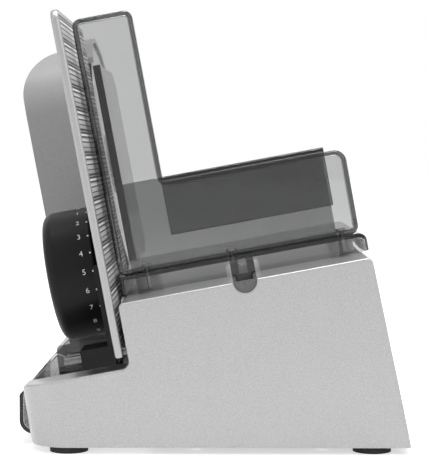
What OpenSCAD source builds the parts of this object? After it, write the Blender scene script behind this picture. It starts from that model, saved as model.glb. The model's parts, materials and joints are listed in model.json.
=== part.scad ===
/* [Base] */
// Length of the base, front to back
base_l = 345; // [300:1:400]
// Lean of the blade, the stop plate and the deck
tilt = 10.5; // [6:0.5:14]
// Height of the underside above the table
foot_h = 4; // [3:0.5:8]
// Height of the middle of the blade plane above the table
plane_z = 153.2; // [148:0.5:165]
// Distance of the blade plane from the middle, to the left
plane_x = 58.9; // [50:0.1:70]
// Outer left wall at the ledge, square to the blade plane
base_left = 60.6; // [56:0.1:64]
// Draft of the left wall over its whole height
left_draft = 2.2; // [0:0.1:4]
// Outer right wall at the deck, square to the blade plane
base_right = 148; // [136:0.5:160]
// Draft of the right wall over its whole height
right_draft = 3; // [0:0.5:8]
// Deck below the middle of the blade plane
deck_drop = 69.2; // [66:0.2:74]
// Low ledge under the dial, below the middle of the blade plane
ledge_drop = 106; // [104:0.5:112]
// Wall thickness of the base
wall = 2.5; // [1.5:0.1:3.2]
// Plan radius of the near left corner
big_corner_r = 22; // [12:1:26]
// Plan radius of the near right corner
tight_corner_r = 3; // [2.6:0.1:8]
// Plan radius of the far corners
corner_r = 8; // [4:1:12]
// Gap between the blade plane and the side wall of the deck
side_gap = 2.5; // [1.5:0.1:3.5]
// Depth of the ledge in front of the food tray
ledge_d = 26; // [24:1:32]

/* [Blade] */
// Diameter of the blade
blade_d = 170; // [160:1:176]
// Thickness of the blade
blade_t = 1.2; // [0.8:0.1:1.6]
// Distance from the near end to the blade axle
axle_l = 237; // [234:1:240]
// Height of the axle along the blade plane
axle_w = 10; // [8:0.5:14]
// Diameter of the axle
axle_d = 10; // [6:0.5:14]
// Diameter of the bayonet lock
lock_d = 42; // [34:1:50]

/* [Drive] */
// Module of the blade gear and its pinion
gear_m = 1.5; // [1.4:0.05:1.55]
// Teeth of the ring gear on the blade
ring_teeth = 54; // [54:1:54]
// Teeth of the pinion
pinion_teeth = 15; // [15:1:15]
// Face width of the blade gear
gear_w = 6; // [4:0.5:6.5]
// Module of the worm and its wheel
worm_m = 1; // [0.9:0.05:1.05]
// Teeth of the worm wheel
wheel_teeth = 24; // [24:1:24]
// Pitch diameter of the worm
worm_d = 10; // [9.6:0.1:11]
// Length of the worm thread
worm_l = 16; // [12:1:20]
// Diameter of the rotor shaft
shaft_d = 5; // [4:0.5:6]
// Diameter of the motor can
motor_d = 34; // [26:1:35]
// Length of the motor can
motor_l = 58; // [44:1:60]

/* [Housing] */
// Distance from the near end of the motor housing to the blade axle
housing_near = 52; // [48:1:56]
// Outer face of the motor housing, square to the blade plane
housing_out = 51; // [48:0.5:54]
// Top of the motor housing along the blade plane
housing_top = 94.4; // [90:0.2:98]
// Radius of the housing's upper corners, seen from the side
housing_r = 44; // [24:1:48]
// Radius of the housing's upper outer edge
housing_edge_r = 31; // [16:1:32]
// Radius of the blade wall's upper corners
bwall_r = 24; // [16:1:28]
// Thickness of the blade wall
bwall_t = 3; // [2:0.1:3.4]
// Back of the blade wall, square to the blade plane
bwall_back = 14; // [13.6:0.1:15]
// Wall of the motor housing
shell = 2; // [1.5:0.1:2.5]

/* [Stop plate] */
// Length of the stop plate
stop_l = 150; // [140:1:151]
// Height of the stop plate
stop_h = 200; // [190:1:202]
// Thickness of the stop plate
stop_t = 4.8; // [4:0.1:5.4]
// Radius of the top near corner of the stop plate
stop_r = 8; // [4:1:14]

/* [Dial] */
// Diameter of the thickness dial
dial_d = 77; // [74:0.5:78]
// Width of the dial along its axis
dial_w = 29; // [28:0.5:32]
// Distance from the near end to the dial axis
dial_l = 60; // [57:1:64]
// Dial axis below the middle of the blade plane
dial_drop = 52; // [51:0.5:52]
// Edge radius of the dial
dial_r = 6; // [2:0.5:8]

/* [Carriage] */
// Near face of the carriage from the near end of the base
car_l0 = 42; // [40:1:46]
// Length of the carriage
car_l = 153; // [130:1:154]
// Left edge of the carriage, square to the blade plane
car_left = 2.6; // [2.2:0.1:4]
// Right edge of the carriage
car_right = 151; // [140:0.5:158]
// Top of the carriage floor below the middle of the blade plane
floor_drop = 57.4; // [56:0.2:60]
// Thickness of the smoke plastic
plastic = 2.5; // [1.8:0.1:3]
// Depth of the guard rim
rim_d = 13; // [8:0.5:14]
// Top of the tall part of the guard
guard_top = 96; // [90:0.5:98]
// Right side of the tall part of the guard
guard_tall = 38.4; // [34:0.2:42]
// Top of the low part of the guard, below the middle of the blade plane
guard_low = 6.8; // [2:0.2:12]

/* [Remnant holder] */
// Near side of the pusher plate, square to the blade plane
push_u = 9.3; // [9:0.1:12]
// Thickness of the pusher plate
push_t = 4.5; // [3:0.1:5]
// Length of the pusher plate
push_l = 112; // [90:1:118]
// Top of the pusher plate along the blade plane
push_top = 68.5; // [60:0.5:74]
// Right end of the holder
hold_right = 134.3; // [120:0.1:138]
// Length of the grip flap, downwards
flap_h = 32; // [20:1:36]

/* [Food tray] */
// Near side of the food tray from the near end of the base
tray_l0 = 32; // [32:1:40]
// Gap between the tray and the motor housing
tray_gap = 5; // [4:0.5:8]
// Left side of the food tray, from the middle
tray_left = 103.9; // [98:0.1:108]
// Right side of the food tray, from the middle
tray_right = 43; // [41:0.5:48]
// Underside of the food tray above the table
tray_z = 6; // [6:0.1:8]
// Top of the tray at its left side
tray_low = 29; // [20:1:32]
// Wall of the food tray
tray_t = 2; // [1.4:0.1:2.4]

/* [Hidden] */
$fn = 64;
// Overrun of every cut past the face it opens
over = 1;
// Radial gap of a shaft in its bush
run_gap = 0.05;
// Gap between flat faces that slide
slide_gap = 0.3;
// Radial gap of a screw or rod in a plain hole
hole_gap = 0.1;

// Screws
screw_d = 3;
thread_gap = 0.15;
screw_head_d = 6;
screw_head_t = 2;

// Underside of the base
cover_t = 2;
cover_gap = 0.3;
boss_d = 9;
boss_inset = 14;
foot_d = 22;
foot_inset = 14;
right_foot_inset = 42;
stem_d = 8;
stem_h = 3;

// Rail groove in the deck and what runs in it
groove_w = 13.7;
groove_u = 75.35;
groove_depth = 7;
groove_wall = 2.5;
liner_t = 1.6;
rail_end = 2;
rail_plug = 1.5;
rail_screw_inset = 60;
keel_end = 4;
leg_w = 4.4;
leg_u = 4.9;
leg_l = 12;
notch_side = 3;
notch_top = 1.6;

// Blade and its gear
bevel_w = 6;
edge_t = 0.2;
web_t = 1;
ring_out_d = 96;
rivet_d = 2.4;
rivet_r = 45.6;
rivet_head_d = 4.4;
rivet_head_t = 0.7;
rivets = 6;
hub_d = 20;
hub_gap = 0.5;
lock_t = 6;
lock_gap = 0.2;
lock_stub_d = 20;
lock_bar_w = 9;
lock_rim = 3;
lock_floor = 1.6;
root_share = 0.6;
tip_share = 0.22;
root_play = 0.25;

// Gears behind the blade wall
pinion_gap = 0.6;
pinion_w = 5;
pinion_shaft_d = 6;
shaft_back = 45;
wheel_w = 5;
rotor_u = 31.5;
worm_bore_play = 0.25;
frame_t = 3;
frame_u = 41;
frame_near = 21;
frame_far = 35;
frame_w0 = -36;
frame_w1 = -2.5;
axle_flange_d = 22;
frame_lug = 9;
bush_d = 10;
bush_h = 5;
motor_rise = 11;
mount_t = 3;
mount_flange = 16;
mount_rim = 4;
fan_d = 28;
fan_h = 7;
fan_gap = 3;
fan_hub_d = 10;
fan_blades = 9;
fan_blade_t = 1.2;
can_t = 1.2;
can_gap = 1.6;
armature_d = 26;
armature_l = 34;
armature_slots = 8;
slot_cut = 2;
thread_turn_steps = 12;
thread_round_steps = 12;
worm_lead = PI * worm_m;

// Blade guard ring
guard_gap = 2;
guard_t = 3;
guard_front = 0.8;
wall_foot = 0.2;

// Stop plate and its drive
stop_near = 0.8;
rod_d = 6;
rod_drop = 97.5;
rod_l = [9, 25];
rod_reach = 34;
rod_head_d = 9;
rod_head_t = 2;
carrier_t = 2.8;
carrier_block_t = 19;
carrier_l = [3, 31.5];
carrier_w = [-103, -92];
carrier_disc_d = 72;
stop_screw_r = 25;

setting_d = 8;
setting_reach = 33;
nut_teeth = 16;
nut_m = 1;
nut_w = 4.5;
nut_collar_d = 12;
ring_in_teeth = 64;
dial_gap = 0.6;
dial_wall_d = 67.2;
dial_face_t = 3;
dial_hub_d = 17;
spindle_d = 10;
spindle_head_t = 2;

// Carriage
skirt_gap = 0.6;
skirt_t = 2.2;
car_r = 8;
car_edge_r = 6;
guard_r = 5;
guard_end_r = 7;
guard_in = 4.2;
boss_small_d = 7;
car_screw_side = [16.6, 14.5];
pad_d = 9;
pad_inset = 12;
pad_gap = 0.3;

// Remnant holder
hold_gap = 0.5;
hold_left = 39.8;
push_foot = 7;
push_r = 14;
hold_foot = 0.5;

// Food tray
tray_r = 8;
tray_peak_x = 81;
runner_t = 1.7;
runner_w = 14;
tray_peak_z = 53.4;
tray_shoulder_u = 27;
tray_shoulder_w = -102.5;

// Switch and button on the outer face of the motor housing
switch_w = -40;
rocker_w = 14;
rocker_h = 24;
rocker_r = 17;
rocker_depth = 6;
rocker_proud = 2.4;
rocker_pin_d = 3;
frame_rim = 2.5;
switch_deep = 18;
switch_wall = 1.6;
button_w = -8;
button_d = 12;
button_proud = 3.5;
button_travel = 3;
button_tube_t = 2;
spring_wire = 0.8;
spring_d = 8;
spring_turns = 5;

// Electronics
board_size = [80, 56, 1.6];
board_at = [60, 20];
board_lift = 8;
post_d = 6;
post_inset = 5;
cap_size = [30, 14, 20];
inlet_x = 40;
inlet_z = 30;
inlet_d = 10;
inlet_flange_d = 16;
inlet_flange_t = 2;
inlet_bore_d = 6.5;
inlet_l = 12;

// Places worked out from the sizes above
blade_r = blade_d / 2;
ring_r = gear_m * ring_teeth / 2;
pinion_r = gear_m * pinion_teeth / 2;
wheel_r = worm_m * wheel_teeth / 2;
pinion_at = axle_w - ring_r + pinion_r;
rotor_l = axle_l + wheel_r + worm_d / 2;
switch_l = (rotor_l + fan_d / 2 + base_l - shell) / 2;
housing_l0 = axle_l - housing_near;
tray_l = housing_l0 - tray_gap - tray_l0;
frame_l0 = axle_l - frame_near;
frame_l1 = axle_l + frame_far;
motor_top = axle_w - blade_r + motor_rise;
car_screw_u = [car_left + car_screw_side[0], groove_u - leg_u, car_right - car_screw_side[1]];
gear_back = blade_t + web_t + gear_w;
wall_front = bwall_back - bwall_t;
skirt_bottom = deck_drop - skirt_gap;
groove_floor = deck_drop + groove_depth;
dial_u0 = stop_t + carrier_t + dial_gap;
dial_u1 = dial_u0 + dial_w;
screw_offset = (ring_in_teeth - nut_teeth) * nut_m / 2;
nut_l = dial_l;
nut_at = -dial_drop - screw_offset;

// Distance along the base from its near end, as a y coordinate
function ly(l) = l - base_l / 2;
// Place on the blade plane's own axis of a point that is u out and z above the table
function w_at(u, z) = (z - plane_z - u * sin(tilt)) / cos(tilt);

// Leaning frame: x square to the blade plane, y along the base, z up along the plane
module leaning() translate([-plane_x, 0, plane_z]) rotate([0, -tilt, 0]) children();

// Section in x and z drawn from l0 to l1 along the base
module along(l0, l1) translate([0, ly(l1), 0]) rotate([90, 0, 0]) linear_extrude(l1 - l0) children();

// Plan in x and y drawn from height z0 to z1
module up(z0, z1) translate([0, 0, z0]) linear_extrude(z1 - z0) children();

// Side view in y and z drawn from x0 to x1
module across(x0, x1) {
    translate([x0, 0, 0]) rotate([90, 0, 90]) linear_extrude(x1 - x0) children();
}

// Block between two corners
module block(a, b) translate(a) cube(b - a);

// Round bar along x, at distance l along the base and height w
module bar(d, l, w, x0, x1) {
    translate([x0, ly(l), w]) rotate([0, 90, 0]) cylinder(d = d, h = x1 - x0);
}

// Sliver that a fillet leaves outside a square corner
module corner(r) {
    difference() {
        translate([-over, -over]) square(r + over);
        translate([r, r]) circle(r);
    }
}

// Rectangle with its own fillet at each corner, from the lower left one round
module rounded(a, b, r) {
    difference() {
        translate(a) square(b - a);
        if (r[0] > 0) translate(a) corner(r[0]);
        if (r[1] > 0) translate([b.x, a.y]) rotate(90) corner(r[1]);
        if (r[2] > 0) translate(b) rotate(180) corner(r[2]);
        if (r[3] > 0) translate([a.x, b.y]) rotate(270) corner(r[3]);
    }
}

// Spur gear outline with a tooth at angle zero, its teeth pointing outwards for d = 1, inwards for d = -1
function gear_points(n, m, d) = [
    for (i = [0 : n - 1], k = [0 : 3])
        let (foot = k == 0 || k == 3,
             q = foot ? n * m / 2 - d * (m + root_play) : n * m / 2 + d * m,
             half = 180 / n * (foot ? root_share : tip_share),
             a = 360 * i / n + (k < 2 ? -half : half))
        [q * cos(a), q * sin(a)]
];

// Section of the worm: the thread's crest at angle zero, its root opposite
function thread_points(root, tip) = [
    for (i = [0 : thread_round_steps - 1])
        let (a = 360 * i / thread_round_steps,
             off = min(a, 360 - a) / 180,
             rise = min(1, max(0, (root_share - off) / (root_share - tip_share))),
             q = root + (tip - root) * rise)
        [q * cos(a), q * sin(a)]
];

// Outline of the base from side to side, its skin moved inwards by t
function base_outline(t, low) = [
    [-base_left - left_draft + t, w_at(-base_left - left_draft + t, low)],
    [-base_left + t, -ledge_drop - t],
    [side_gap + t, -ledge_drop - t],
    [side_gap + t, -deck_drop - t],
    [base_right - t, -deck_drop - t],
    [base_right + right_draft - t, w_at(base_right + right_draft - t, low)]
];

// Solid between the near and far walls, with the plan's rounded corners, its skin moved inwards by t
module base_body(t, l0, l1) {
    low = foot_h - (t > 0 ? over : 0);
    floor_w = w_at(base_right + right_draft, low);
    intersection() {
        along(l0, l1) polygon(base_outline(t, low));
        up(floor_w, -deck_drop + over)
            rounded([-base_left - left_draft + t, ly(t)], [base_right + right_draft - t, ly(base_l - t)],
                [big_corner_r - t, tight_corner_r - min(t, tight_corner_r), corner_r - t, corner_r - t]);
    }
}

// Half space on the right of the tray bay's side wall
module right_side() {
    block([side_gap + wall, ly(0), -base_l], [base_l, ly(base_l), 0]);
}

// Outline of the rail groove and of what lies in it, its skin moved inwards by t
module groove_outline(t, top) {
    r = groove_w / 2 - t;
    translate([groove_u, -groove_floor + t + r]) circle(r);
    translate([groove_u - r, -groove_floor + t + r]) square([2 * r, groove_floor - t - r + top]);
}

// Places of the screws that hold the bottom cover
cover_screw_xy = [
    [plane_x + boss_inset, ly(boss_inset + wall)],
    [plane_x + boss_inset, ly(base_l - boss_inset - wall)],
    [0, ly(boss_inset + wall)],
    [0, ly(base_l - boss_inset - wall)]
];

// Places of the feet
foot_xy = [
    [-plane_x - foot_inset, ly(foot_inset)],
    [plane_x + right_foot_inset, ly(foot_inset)],
    [plane_x + right_foot_inset, ly(base_l - foot_inset)],
    [-plane_x - foot_inset, ly(base_l - foot_inset)]
];

// Runners that carry the food tray, across the bay's near and far ends
module tray_runners() {
    side_x = -plane_x + (side_gap + wall / 2) * cos(tilt) - w_at(side_gap, foot_h) * sin(tilt);
    intersection() {
        leaning() base_body(0, 0, base_l);
        for (l = [ledge_d - over, housing_l0 + over - runner_w])
            block([-base_l, ly(l), foot_h], [side_x, ly(l + runner_w), foot_h + runner_t]);
    }
}

module base_housing() {
    boss_top = foot_h + cover_t + cover_gap;
    color("silver") tray_runners();
    color("silver") difference() {
        union() {
            difference() {
                leaning() base_body(0, 0, base_l);
                // Hollow under the deck
                leaning() intersection() {
                    base_body(wall, wall, base_l - wall);
                    right_side();
                }
                // Hollow under the motor, open to the one beside it
                leaning() base_body(wall, housing_l0 + wall, base_l - wall);
                // Pocket in the near left corner, with a floor of its own
                leaning() intersection() {
                    base_body(wall, wall, ledge_d - wall);
                    along(wall, ledge_d - wall) polygon([
                        [-base_left - left_draft, w_at(-base_left - left_draft, foot_h + wall)],
                        [-base_left - left_draft, 0],
                        [side_gap, 0],
                        [side_gap, w_at(side_gap, foot_h + wall)]
                    ]);
                }
            }
            // Trough that carries the rail
            leaning() intersection() {
                base_body(0, 0, base_l);
                along(0, base_l) groove_outline(-groove_wall, 0);
            }
            // Bosses for the screws of the bottom cover
            intersection() {
                leaning() base_body(0, 0, base_l);
                for (at = cover_screw_xy) translate([at.x, at.y, boss_top]) cylinder(d = boss_d, h = plane_z);
            }
        }
        // Bay of the food tray
        leaning() block(
            [-base_left - left_draft - over, ly(ledge_d), -base_l],
            [side_gap, ly(housing_l0), -ledge_drop + over]
        );
        leaning() along(-over, base_l + over) groove_outline(0, over);
        // Opening in the ledge for the motor
        leaning() translate([-rotor_u, ly(rotor_l), -ledge_drop - wall - over])
            cylinder(d = motor_d + 2 * can_gap, h = wall + 2 * over);
        for (at = cover_screw_xy) translate([at.x, at.y, boss_top - over])
            cylinder(d = screw_d - 2 * hole_gap, h = boss_d + over);
        // Hole of the cord inlet
        translate([inlet_x, ly(base_l) + over, inlet_z]) rotate([90, 0, 0])
            cylinder(d = inlet_d + 2 * hole_gap, h = wall + 2 * over);
        // Seats of the guide rods and of the setting screw in the side wall
        leaning() for (l = rod_l) bar(rod_d + 2 * hole_gap, l, -rod_drop, 0, side_gap + wall + over);
        leaning() bar(setting_d + 2 * hole_gap, nut_l, nut_at, 0, side_gap + wall + over);
        // Holes of the near left foot's stem and of the rail's screws
        translate([foot_xy[0].x, foot_xy[0].y, 0])
            cylinder(d = stem_d + 2 * hole_gap, h = foot_h + wall + over);
        leaning() for (l = [rail_screw_inset, base_l - rail_screw_inset])
            translate([groove_u, ly(l), -groove_floor - groove_wall - over])
                cylinder(d = screw_d + 2 * hole_gap, h = groove_wall + 2 * over);
    }
}

module bottom_cover() {
    skin = wall + cover_gap;
    color("dimgray") difference() {
        union() {
            intersection() {
                leaning() union() {
                    intersection() {
                        base_body(skin, skin, base_l - skin);
                        block([side_gap + skin, ly(0), -base_l], [base_l, ly(base_l), 0]);
                    }
                    base_body(skin, housing_l0 + skin, base_l - skin);
                }
                translate([-base_l, -base_l, foot_h]) cube([2 * base_l, 2 * base_l, cover_t]);
            }
            for (x = board_x, y = board_y)
                translate([x, y, foot_h + cover_t]) cylinder(d = post_d, h = board_lift);
        }
        for (at = cover_screw_xy) translate([at.x, at.y, foot_h - over])
            cylinder(d = screw_d + 2 * hole_gap, h = cover_t + 2 * over);
        for (i = [1 : 3]) translate([foot_xy[i].x, foot_xy[i].y, foot_h - over])
            cylinder(d = stem_d + 2 * hole_gap, h = cover_t + 2 * over);
    }
}

module feet() {
    color([0.08, 0.08, 0.08]) for (at = foot_xy) translate([at.x, at.y, 0]) {
        cylinder(d = foot_d, h = foot_h);
        cylinder(d = stem_d, h = foot_h + stem_h);
    }
}

module cover_screws() {
    color("gray") for (at = cover_screw_xy) translate([at.x, at.y, foot_h - screw_head_t]) {
        cylinder(d = screw_head_d, h = screw_head_t);
        cylinder(d = screw_d - 2 * thread_gap, h = screw_head_t + cover_t + cover_gap + boss_d - over);
    }
}

module guide_rail() {
    color("dimgray") leaning() difference() {
        along(rail_end, base_l - rail_end) intersection() {
            groove_outline(hole_gap, 0);
            translate([0, -base_l]) square([base_l, base_l - deck_drop]);
        }
        along(rail_end + rail_plug, base_l - rail_end - rail_plug) groove_outline(hole_gap + liner_t, over);
        for (l = [rail_screw_inset, base_l - rail_screw_inset])
            translate([groove_u, ly(l), -groove_floor - over])
                cylinder(d = screw_d - 2 * hole_gap, h = groove_depth);
    }
}

module rail_screws() {
    color("gray") leaning() for (l = [rail_screw_inset, base_l - rail_screw_inset])
        translate([groove_u, ly(l), -groove_floor - groove_wall - screw_head_t]) {
            cylinder(d = screw_head_d, h = screw_head_t);
            cylinder(d = screw_d - 2 * thread_gap, h = screw_head_t + groove_wall + liner_t);
        }
}

// Side view of the motor housing or of the blade wall, with corners of radius r, its skin moved inwards by t
module housing_side(t, r) {
    rounded([ly(housing_l0) + t, -ledge_drop - over], [ly(base_l) - t, housing_top - t],
        [0, 0, r - t, r - t]);
}

// Section of the motor housing, its skin moved inwards by t
module housing_section(t) {
    rounded([-housing_out + t, -ledge_drop - over], [-bwall_back + over, housing_top - t],
        [0, 0, 0, housing_edge_r - t]);
}

// Places of the housing's screws along the base and up the plane
housing_screw_at = [
    [housing_l0 + boss_d, 30],
    [base_l - boss_d, 30],
    [housing_l0 + boss_d, -80],
    [base_l - boss_d, -80]
];

module blade_wall() {
    color("lightgray") leaning() difference() {
        union() {
            intersection() {
                across(-bwall_back, -wall_front) housing_side(0, bwall_r);
                block([-base_left, ly(0), -ledge_drop + wall_foot], [base_right, ly(base_l), base_l]);
            }
            // Guard ring round the blade
            intersection() {
                difference() {
                    bar(2 * (blade_r + guard_gap + guard_t), axle_l, axle_w, -wall_front, guard_front);
                    bar(2 * (blade_r + guard_gap), axle_l, axle_w, -base_left, base_right);
                }
                block([-base_left, ly(housing_l0), -deck_drop], [base_right, ly(base_l), base_l]);
            }
        }
        bar(axle_d, axle_l, axle_w, -base_left, base_right);
        bar(pinion_shaft_d + 2 * run_gap, axle_l, pinion_at, -base_left, base_right);
        for (at = housing_screw_at) bar(screw_d + 2 * hole_gap, at[0], at[1], -base_left, base_right);
        for (at = frame_screw_at) bar(screw_d + 2 * hole_gap, at[0], at[1], -base_left, base_right);
    }
}

// Places of the screws that hold the gear frame and the motor mount to the blade wall
frame_screw_at = [
    [frame_l0 - frame_lug / 2, frame_w1 - frame_lug],
    [frame_l1 + frame_lug / 2, frame_w1 - frame_lug],
    [rotor_l - mount_flange, motor_top + mount_flange / 2 + mount_t],
    [rotor_l + mount_flange, motor_top + mount_flange / 2 + mount_t]
];

module wall_screws() {
    color("gray") leaning() for (at = frame_screw_at) {
        bar(screw_head_d, at[0], at[1], -wall_front, -wall_front + screw_head_t);
        bar(screw_d - 2 * hole_gap, at[0], at[1], -bwall_back - frame_t + hole_gap, -wall_front);
    }
}

module motor_housing() {
    color([0.66, 0.66, 0.66]) leaning() difference() {
        union() {
            difference() {
                housing_solid(0, bwall_back);
                housing_solid(shell, bwall_back - over);
            }
            for (at = housing_screw_at) intersection() {
                housing_solid(0, bwall_back);
                bar(boss_d, at[0], at[1], -base_left, -bwall_back);
            }
        }
        for (at = housing_screw_at) bar(screw_d - 2 * hole_gap, at[0], at[1], -housing_out + shell + over, 0);
        // Openings for the switch and the safety button
        block(
            [-base_left, ly(switch_l) - rocker_w / 2 - switch_wall, switch_w - rocker_h / 2 - switch_wall],
            [-housing_out + shell + over, ly(switch_l) + rocker_w / 2 + switch_wall,
                switch_w + rocker_h / 2 + switch_wall]
        );
        bar(button_d + 2 * button_tube_t, switch_l, button_w, -base_left, -housing_out + shell + over);
    }
}

// Body of the motor housing from its outer face to u, its skin moved inwards by t
module housing_solid(t, u) {
    intersection() {
        across(-housing_out + t, -u) housing_side(t, housing_r);
        along(housing_l0, base_l) housing_section(t);
        block(
            [-base_left, ly(0), -ledge_drop + wall_foot - (t > 0 ? over : 0)],
            [base_right, ly(base_l), base_l]
        );
    }
}

module housing_screws() {
    color("gray") leaning() for (at = housing_screw_at) {
        bar(screw_head_d, at[0], at[1], -wall_front, -wall_front + screw_head_t);
        bar(screw_d - 2 * thread_gap, at[0], at[1], -bwall_back - boss_d, -wall_front);
    }
}

module gear_frame() {
    color("dimgray") leaning() difference() {
        union() {
            block([-frame_u - frame_t, ly(frame_l0), frame_w0], [-frame_u, ly(frame_l1), frame_w1]);
            block(
                [-frame_u - frame_t, ly(frame_l0), frame_w1 - frame_t],
                [-bwall_back, ly(frame_l1), frame_w1]
            );
            block(
                [-frame_u - frame_t, ly(frame_l0), frame_w0],
                [-bwall_back, ly(frame_l0) + frame_t, frame_w1]
            );
            block(
                [-bwall_back - frame_t, ly(frame_l0) - frame_lug, frame_w1 - 2 * frame_lug],
                [-bwall_back, ly(frame_l0) + frame_t, frame_w1]
            );
            block(
                [-bwall_back - frame_t, ly(frame_l1) - frame_t, frame_w1 - 2 * frame_lug],
                [-bwall_back, ly(frame_l1) + frame_lug, frame_w1]
            );
        }
        bar(pinion_shaft_d + 2 * run_gap, axle_l, pinion_at, -base_left, -frame_u + over);
        translate([-rotor_u, ly(rotor_l), frame_w1 - frame_t - over])
            cylinder(d = bush_d, h = frame_t + 2 * over);
        for (i = [0 : 1])
            bar(screw_d - 2 * hole_gap, frame_screw_at[i][0], frame_screw_at[i][1], -base_left, 0);
    }
}

module blade_axle() {
    color("silver") leaning() {
        bar(axle_d, axle_l, axle_w, -bwall_back, -lock_reach);
        bar(axle_flange_d, axle_l, axle_w, -bwall_back - frame_t, -bwall_back);
    }
}
lock_reach = blade_t + hub_gap;

module motor_can() {
    color("gray") leaning() translate([-rotor_u, ly(rotor_l), motor_top - motor_l]) difference() {
        cylinder(d = motor_d, h = motor_l);
        translate([0, 0, can_t]) cylinder(d = motor_d - 2 * can_t, h = motor_l - 2 * can_t);
        translate([0, 0, -over]) cylinder(d = bush_d, h = motor_l + 2 * over);
    }
}

module motor_mount() {
    color("dimgray") leaning() difference() {
        union() {
            block(
                [-rotor_u - motor_d / 2, ly(rotor_l - mount_flange - mount_rim), motor_top],
                [-bwall_back, ly(rotor_l + mount_flange + mount_rim), motor_top + mount_t]
            );
            block(
                [-bwall_back - frame_t, ly(rotor_l - mount_flange - mount_rim), motor_top],
                [-bwall_back, ly(rotor_l + mount_flange + mount_rim), motor_top + mount_flange + mount_t]
            );
        }
        translate([-rotor_u, ly(rotor_l), motor_top - over]) cylinder(d = bush_d, h = mount_t + 2 * over);
        for (i = [2 : 3])
            bar(screw_d - 2 * hole_gap, frame_screw_at[i][0], frame_screw_at[i][1], -base_left, 0);
        for (s = [-1, 1]) translate([-rotor_u, ly(rotor_l) + s * motor_screw_r, motor_top - over])
            cylinder(d = screw_d + 2 * hole_gap, h = mount_t + 2 * over);
    }
}
motor_screw_r = motor_d / 2 - screw_head_d / 2;

module motor_screws() {
    color("silver") leaning() for (s = [-1, 1])
        translate([-rotor_u, ly(rotor_l) + s * motor_screw_r, motor_top]) {
            cylinder(d = screw_d, h = mount_t);
            translate([0, 0, mount_t]) cylinder(d = screw_head_d, h = screw_head_t);
        }
}

// Heights of the rotor's bushes up the blade plane
rotor_bush_w = [frame_w1 - bush_h, motor_top + mount_t - bush_h, motor_top - motor_l - bush_h + can_t];

module rotor_bearings() {
    color("peru") leaning() for (w = rotor_bush_w) translate([-rotor_u, ly(rotor_l), w]) difference() {
        cylinder(d = bush_d, h = bush_h);
        translate([0, 0, -over]) cylinder(d = shaft_d + 2 * run_gap, h = bush_h + 2 * over);
    }
}

module switch_frame() {
    color([0.1, 0.1, 0.1]) leaning() difference() {
        union() {
            // Bezel on the outer face and the box behind it
            block(
                [
                    -housing_out - frame_rim / 2,
                    ly(switch_l) - rocker_w / 2 - frame_rim,
                    switch_w - rocker_h / 2 - frame_rim
                ],
                [-housing_out, ly(switch_l) + rocker_w / 2 + frame_rim, switch_w + rocker_h / 2 + frame_rim]
            );
            block(
                [
                    -housing_out,
                    ly(switch_l) - rocker_w / 2 - switch_wall,
                    switch_w - rocker_h / 2 - switch_wall
                ],
                [-housing_out + switch_deep, ly(switch_l) + rocker_w / 2 + switch_wall,
                    switch_w + rocker_h / 2 + switch_wall]
            );
            // Tube that guides the safety button
            bar(button_d + 2 * button_tube_t, switch_l, button_w, -housing_out, -housing_out + switch_deep);
        }
        block(
            [-base_left, ly(switch_l) - rocker_w / 2, switch_w - rocker_h / 2],
            [-housing_out + switch_deep - switch_wall, ly(switch_l) + rocker_w / 2, switch_w + rocker_h / 2]
        );
        bar(button_d + 2 * run_gap, switch_l, button_w, -base_left, -housing_out + switch_deep - switch_wall);
        // Seats of the rocker's pin
        translate([-housing_out + rocker_depth, ly(switch_l) - rocker_w / 2 - over, switch_w])
            rotate([-90, 0, 0]) cylinder(d = rocker_pin_d + 2 * run_gap, h = rocker_w + 2 * over);
    }
}

module power_switch() {
    side = hole_gap + slide_gap;
    pin_l = rocker_w + over;
    color([0.16, 0.16, 0.16]) leaning() translate([-housing_out + rocker_depth, ly(switch_l), switch_w]) {
        rotate([90, 0, 0]) translate([0, 0, -rocker_w / 2 + side]) linear_extrude(rocker_w - 2 * side)
            intersection() {
                translate([-rocker_depth - rocker_proud + rocker_r, 0]) circle(rocker_r);
                translate([-rocker_r, -rocker_h / 2 + over])
                    square([rocker_r + rocker_pin_d, rocker_h - 2 * over]);
            }
        translate([0, -pin_l / 2, 0]) rotate([-90, 0, 0]) cylinder(d = rocker_pin_d, h = pin_l);
    }
}

module safety_button() {
    inner = -housing_out + switch_deep - switch_wall;
    color([0.12, 0.12, 0.12]) leaning() difference() {
        bar(button_d, switch_l, button_w, -housing_out - button_proud, inner - button_travel - over);
        bar(spring_d + 2 * spring_wire, switch_l, button_w, -housing_out + frame_rim, 0);
    }
}

module button_spring() {
    x0 = -housing_out + frame_rim + slide_gap;
    x1 = -housing_out + switch_deep - switch_wall - slide_gap;
    n = 8 * spring_turns;
    r = spring_wire / 2;
    ring = [for (i = [0 : n], k = [0 : 5])
        let (a = 360 * i / 8, b = 60 * k, q = spring_d / 2 + r * cos(b))
        [x0 + r + (x1 - x0 - 2 * r) * i / n + r * sin(b), q * cos(a), q * sin(a)]];
    sides = [for (i = [0 : n - 1], k = [0 : 5], h = [0, 1])
        let (a = 6 * i + k, b = 6 * i + (k + 1) % 6)
        h == 0 ? [a, b, b + 6] : [a, b + 6, a + 6]];
    ends = [[5, 4, 3, 2, 1, 0], [for (k = [0 : 5]) 6 * n + k]];
    color("silver") leaning() translate([0, ly(switch_l), button_w])
        polyhedron(ring, concat(sides, ends));
}

// Middle of the circuit board's posts
board_x = [board_at.x - board_size.x / 2 + post_inset, board_at.x + board_size.x / 2 - post_inset];
board_y = [board_at.y - board_size.y / 2 + post_inset, board_at.y + board_size.y / 2 - post_inset];
board_z = foot_h + cover_t + board_lift;

module circuit_board() {
    color("darkgreen") translate([board_at.x - board_size.x / 2, board_at.y - board_size.y / 2, board_z])
        cube(board_size);
}

module capacitor() {
    color("gold") translate([board_at.x - cap_size.x / 2, board_at.y - cap_size.y / 2, board_z + board_size.z])
        cube(cap_size);
}

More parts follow.
